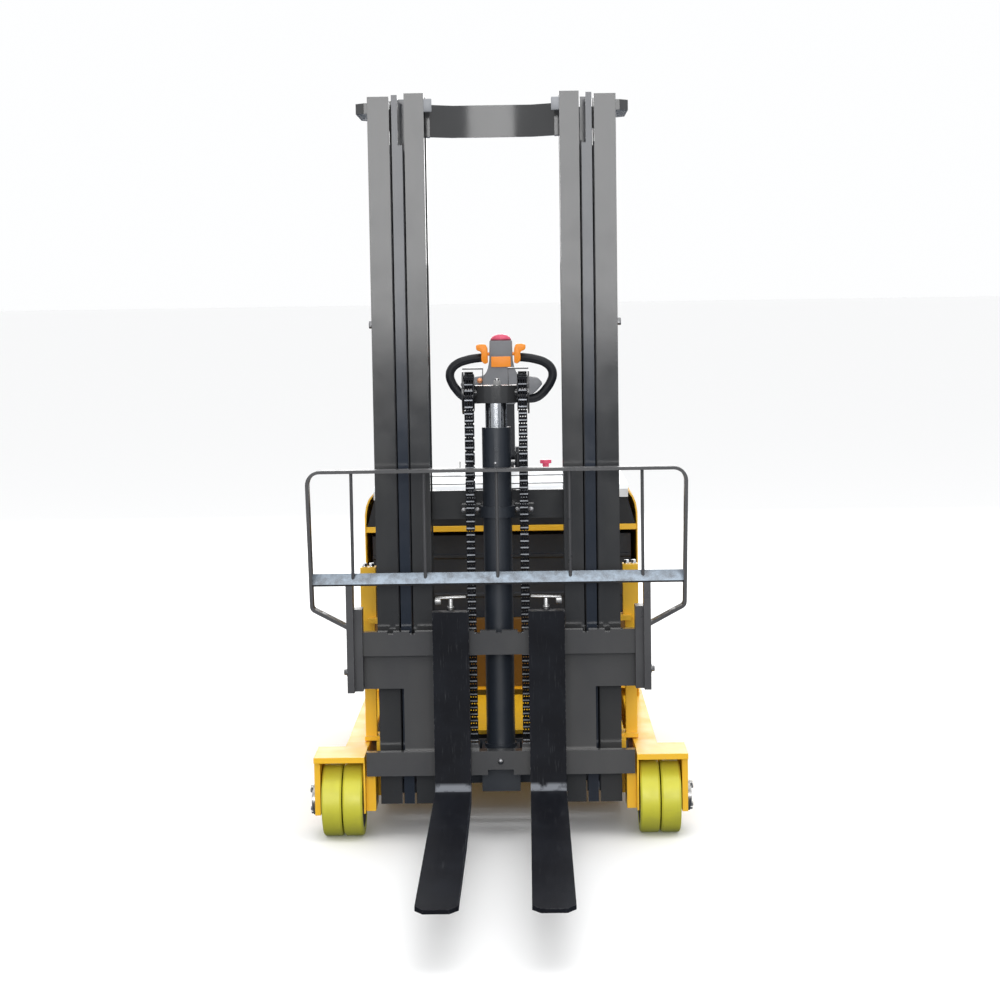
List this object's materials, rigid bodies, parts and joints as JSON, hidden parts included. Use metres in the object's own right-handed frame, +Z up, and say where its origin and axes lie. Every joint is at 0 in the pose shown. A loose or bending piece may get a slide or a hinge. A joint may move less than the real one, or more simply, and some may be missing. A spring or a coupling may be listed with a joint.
{
  "type": "electric reach stacker",
  "caption": "Walk-behind electric stacker with straddle legs, a three-stage mast that slides forward on them, a fork carriage with load guard, and a steering tiller.",
  "frame": {"origin": "on the floor at the middle of the machine's length and width", "axes": "+Z up, forks toward -Y, +X to the right seen from the fork side"},
  "size_m": [1.08, 2.83, 2.073],
  "materials": {
    "mast_paint": "satin dark grey paint",
    "fork_paint": "satin black paint",
    "yellow_paint": "gloss golden yellow paint",
    "white_cover": "gloss white",
    "black_plastic": "matte black",
    "grey_plastic": "matte dark grey",
    "orange_plastic": "gloss orange",
    "red_plastic": "gloss red",
    "chrome": "polished chrome plating",
    "bright_steel": "bright turned steel",
    "chain_steel": "oiled dark steel",
    "battery_case": "matte black paint",
    "cast": "grey cast iron",
    "lime_tread": "glossy lime polyurethane on a steel hub",
    "rubber": "matte black"
  },
  "bodies": {
    "chassis": {"base_frame": "yellow_paint", "wheel_brackets": "yellow_paint", "wheel_axles": "chrome", "side_panels": "yellow_paint", "front_panel": "yellow_paint", "upper_band": "black_plastic", "battery": "battery_case", "rear_cowl": "white_cover", "power_pack": "battery_case", "reach_barrel": "battery_case"},
    "load_wheel_left_outer": {"load_wheel_left_outer": "lime_tread"},
    "load_wheel_left_inner": {"load_wheel_left_inner": "lime_tread"},
    "load_wheel_right_inner": {"load_wheel_right_inner": "lime_tread"},
    "load_wheel_right_outer": {"load_wheel_right_outer": "lime_tread"},
    "battery_cover": {"battery_cover": "white_cover"},
    "key_switch": {"key_switch": "chrome"},
    "stop_button": {"stop_button": "red_plastic"},
    "steering": {"drive_gearbox": "cast", "drive_motor": "battery_case", "steering_column": "battery_case"},
    "drive_wheel": {"drive_wheel": "rubber"},
    "castor": {"castor_fork": "bright_steel"},
    "castor_wheel": {"castor_wheel": "rubber"},
    "tiller": {"tiller_arm": "fork_paint", "tiller_head": "grey_plastic", "tiller_grips": "black_plastic"},
    "throttle": {"throttle_wings": "orange_plastic"},
    "belly_button": {"belly_button": "red_plastic"},
    "lift_rocker": {"lift_rocker": "orange_plastic"},
    "horn_button": {"horn_button": "black_plastic"},
    "reach_unit": {"reach_carriage": "yellow_paint", "reach_rod": "chrome", "outer_mast": "mast_paint", "lift_barrels": "battery_case"},
    "reach_rollers_front": {"reach_rollers_front": "bright_steel"},
    "reach_rollers_rear": {"reach_rollers_rear": "bright_steel"},
    "middle_mast": {"middle_mast": "mast_paint", "lift_rods": "chrome", "side_chains_rear": "chain_steel", "side_chains_front": "chain_steel"},
    "middle_rollers_low": {"middle_rollers_low": "bright_steel"},
    "middle_rollers_high": {"middle_rollers_high": "bright_steel"},
    "side_pulleys": {"side_pulleys": "cast"},
    "inner_mast": {"inner_mast": "mast_paint", "free_lift_barrel": "mast_paint"},
    "inner_rollers_low": {"inner_rollers_low": "bright_steel"},
    "inner_rollers_high": {"inner_rollers_high": "bright_steel"},
    "crosshead": {"crosshead": "mast_paint", "free_lift_rod": "chrome", "lift_chains_front": "chain_steel", "lift_chains_rear": "chain_steel"},
    "chain_pulleys": {"chain_pulleys": "cast"},
    "carriage": {"carriage": "mast_paint", "backrest": "mast_paint"},
    "carriage_rollers_low": {"carriage_rollers_low": "bright_steel"},
    "carriage_rollers_high": {"carriage_rollers_high": "bright_steel"},
    "fork_left": {"fork_left": "fork_paint"},
    "fork_right": {"fork_right": "fork_paint"},
    "latch_left": {"latch_left": "chrome"},
    "latch_right": {"latch_right": "chrome"}
  },
  "joints": [
    {"name": "left_outer_wheel_spin", "type": "hinge", "parent": "chassis", "child": "load_wheel_left_outer", "pos_m": [-0.4749, -0.145, 0.103], "axis": [1, 0, 0], "continuous": true},
    {"name": "left_inner_wheel_spin", "type": "hinge", "parent": "chassis", "child": "load_wheel_left_inner", "pos_m": [-0.4161, -0.145, 0.103], "axis": [1, 0, 0], "continuous": true},
    {"name": "right_outer_wheel_spin", "type": "hinge", "parent": "chassis", "child": "load_wheel_right_outer", "pos_m": [0.4749, -0.145, 0.103], "axis": [1, 0, 0], "continuous": true},
    {"name": "right_inner_wheel_spin", "type": "hinge", "parent": "chassis", "child": "load_wheel_right_inner", "pos_m": [0.4161, -0.145, 0.103], "axis": [1, 0, 0], "continuous": true},
    {"name": "battery_cover_hinge", "type": "hinge", "parent": "chassis", "child": "battery_cover", "pos_m": [0, 1.065, 0.919], "axis": [-1, 0, 0], "range_deg": [0, 75]},
    {"name": "key_turn", "type": "hinge", "parent": "chassis", "child": "key_switch", "pos_m": [-0.15, 1.345, 0.919], "axis": [0, 0, 1], "range_deg": [0, 90]},
    {"name": "stop_press", "type": "slide", "parent": "chassis", "child": "stop_button", "axis": [0, 0, -1], "range_m": [0, 0.006], "stiffness_N_per_m": 3000, "springref_m": -0.002},
    {"name": "steer", "type": "hinge", "parent": "chassis", "child": "steering", "pos_m": [0, 1.275, 0.3], "axis": [0, 0, 1], "range_deg": [-90, 90]},
    {"name": "drive_wheel_spin", "type": "hinge", "parent": "steering", "child": "drive_wheel", "pos_m": [0, 1.275, 0.115], "axis": [1, 0, 0], "continuous": true},
    {"name": "castor_swivel", "type": "hinge", "parent": "chassis", "child": "castor", "pos_m": [0.3, 1.275, 0.2], "axis": [0, 0, 1], "continuous": true},
    {"name": "castor_wheel_spin", "type": "hinge", "parent": "castor", "child": "castor_wheel", "pos_m": [0.3, 1.315, 0.075], "axis": [1, 0, 0], "continuous": true},
    {"name": "tiller_fold", "type": "hinge", "parent": "steering", "child": "tiller", "pos_m": [0, 1.275, 0.975], "axis": [-1, 0, 0], "range_deg": [0, 75], "stiffness_Nm_per_rad": 30, "springref_deg": -20.05},
    {"name": "throttle_turn", "type": "hinge", "parent": "tiller", "child": "throttle", "pos_m": [0, 1.245, 1.321], "axis": [1, 0, 0], "range_deg": [-20, 20], "stiffness_Nm_per_rad": 1},
    {"name": "belly_press", "type": "slide", "parent": "tiller", "child": "belly_button", "axis": [0, 0, -1], "range_m": [0, 0.007], "stiffness_N_per_m": 1500, "springref_m": -0.003},
    {"name": "rocker_tilt", "type": "hinge", "parent": "tiller", "child": "lift_rocker", "pos_m": [0, 1.24, 1.294], "axis": [1, 0, 0], "range_deg": [-8, 8], "stiffness_Nm_per_rad": 0.5},
    {"name": "horn_press", "type": "slide", "parent": "tiller", "child": "horn_button", "axis": [0, -1, 0], "range_m": [0, 0.004], "stiffness_N_per_m": 1000},
    {"name": "reach", "type": "slide", "parent": "chassis", "child": "reach_unit", "axis": [0, 1, 0], "range_m": [0, 0.45]},
    {"name": "reach_roller_front_spin", "type": "hinge", "parent": "reach_unit", "child": "reach_rollers_front", "pos_m": [0, 0.065, 0.15], "axis": [-1, 0, 0], "range_deg": [-10, 360]},
    {"name": "reach_roller_rear_spin", "type": "hinge", "parent": "reach_unit", "child": "reach_rollers_rear", "pos_m": [0, 0.455, 0.15], "axis": [-1, 0, 0], "range_deg": [-10, 360]},
    {"name": "mast_lift", "type": "slide", "parent": "reach_unit", "child": "middle_mast", "axis": [0, 0, 1], "range_m": [0, 1.4], "deforming": ["side_chains_rear"]},
    {"name": "inner_lift", "type": "slide", "parent": "middle_mast", "child": "inner_mast", "axis": [0, 0, 1], "range_m": [0, 1.4], "deforming": ["side_chains_front"]},
    {"name": "middle_roller_low_spin", "type": "hinge", "parent": "middle_mast", "child": "middle_rollers_low", "pos_m": [0, -0.084, 0.16], "axis": [1, 0, 0], "range_deg": [-10, 1500]},
    {"name": "middle_roller_high_spin", "type": "hinge", "parent": "middle_mast", "child": "middle_rollers_high", "pos_m": [0, -0.084, 0.57], "axis": [1, 0, 0], "range_deg": [-10, 1500]},
    {"name": "inner_roller_low_spin", "type": "hinge", "parent": "inner_mast", "child": "inner_rollers_low", "pos_m": [0, -0.084, 0.16], "axis": [1, 0, 0], "range_deg": [-10, 1500]},
    {"name": "inner_roller_high_spin", "type": "hinge", "parent": "inner_mast", "child": "inner_rollers_high", "pos_m": [0, -0.084, 0.57], "axis": [1, 0, 0], "range_deg": [-10, 1500]},
    {"name": "side_pulley_spin", "type": "hinge", "parent": "middle_mast", "child": "side_pulleys", "pos_m": [0, 0.051, 1.9], "axis": [1, 0, 0], "range_deg": [-10, 1700]},
    {"name": "free_lift", "type": "slide", "parent": "inner_mast", "child": "crosshead", "axis": [0, 0, 1], "range_m": [-0.03, 0.69], "deforming": ["lift_chains_rear"]},
    {"name": "chain_pulley_spin", "type": "hinge", "parent": "crosshead", "child": "chain_pulleys", "pos_m": [0, -0.115, 1.248], "axis": [1, 0, 0], "range_deg": [-60, 900]},
    {"name": "carriage_lift", "type": "slide", "parent": "crosshead", "child": "carriage", "axis": [0, 0, 1], "range_m": [-0.03, 0.69], "deforming": ["lift_chains_front"]},
    {"name": "carriage_roller_low_spin", "type": "hinge", "parent": "carriage", "child": "carriage_rollers_low", "pos_m": [0, -0.084, 0.2625], "axis": [1, 0, 0], "range_deg": [-90, 1500]},
    {"name": "carriage_roller_high_spin", "type": "hinge", "parent": "carriage", "child": "carriage_rollers_high", "pos_m": [0, -0.084, 0.4805], "axis": [1, 0, 0], "range_deg": [-90, 1500]},
    {"name": "fork_left_shift", "type": "slide", "parent": "carriage", "child": "fork_left", "axis": [-1, 0, 0], "range_m": [-0.0725, 0.1695]},
    {"name": "latch_left_drop", "type": "slide", "parent": "fork_left", "child": "latch_left", "axis": [0, 0, -1], "range_m": [0, 0.007]},
    {"name": "fork_right_shift", "type": "slide", "parent": "carriage", "child": "fork_right", "axis": [1, 0, 0], "range_m": [-0.0725, 0.1695]},
    {"name": "latch_right_drop", "type": "slide", "parent": "fork_right", "child": "latch_right", "axis": [0, 0, -1], "range_m": [0, 0.007]}
  ],
  "couplings": [
    {"joint": "reach_roller_front_spin", "follows": "reach", "rad_per_m": 13.423},
    {"joint": "reach_roller_rear_spin", "follows": "reach", "rad_per_m": 13.423},
    {"joint": "inner_lift", "follows": "mast_lift", "ratio": 1},
    {"joint": "carriage_lift", "follows": "free_lift", "ratio": 1},
    {"joint": "middle_roller_low_spin", "follows": "mast_lift", "rad_per_m": 17.637},
    {"joint": "middle_roller_high_spin", "follows": "mast_lift", "rad_per_m": 17.637},
    {"joint": "inner_roller_low_spin", "follows": "mast_lift", "rad_per_m": 17.637},
    {"joint": "inner_roller_high_spin", "follows": "mast_lift", "rad_per_m": 17.637},
    {"joint": "side_pulley_spin", "follows": "mast_lift", "rad_per_m": 20},
    {"joint": "chain_pulley_spin", "follows": "free_lift", "rad_per_m": 20},
    {"joint": "carriage_roller_low_spin", "follows": "free_lift", "rad_per_m": 35.273},
    {"joint": "carriage_roller_high_spin", "follows": "free_lift", "rad_per_m": 35.273}
  ]
}
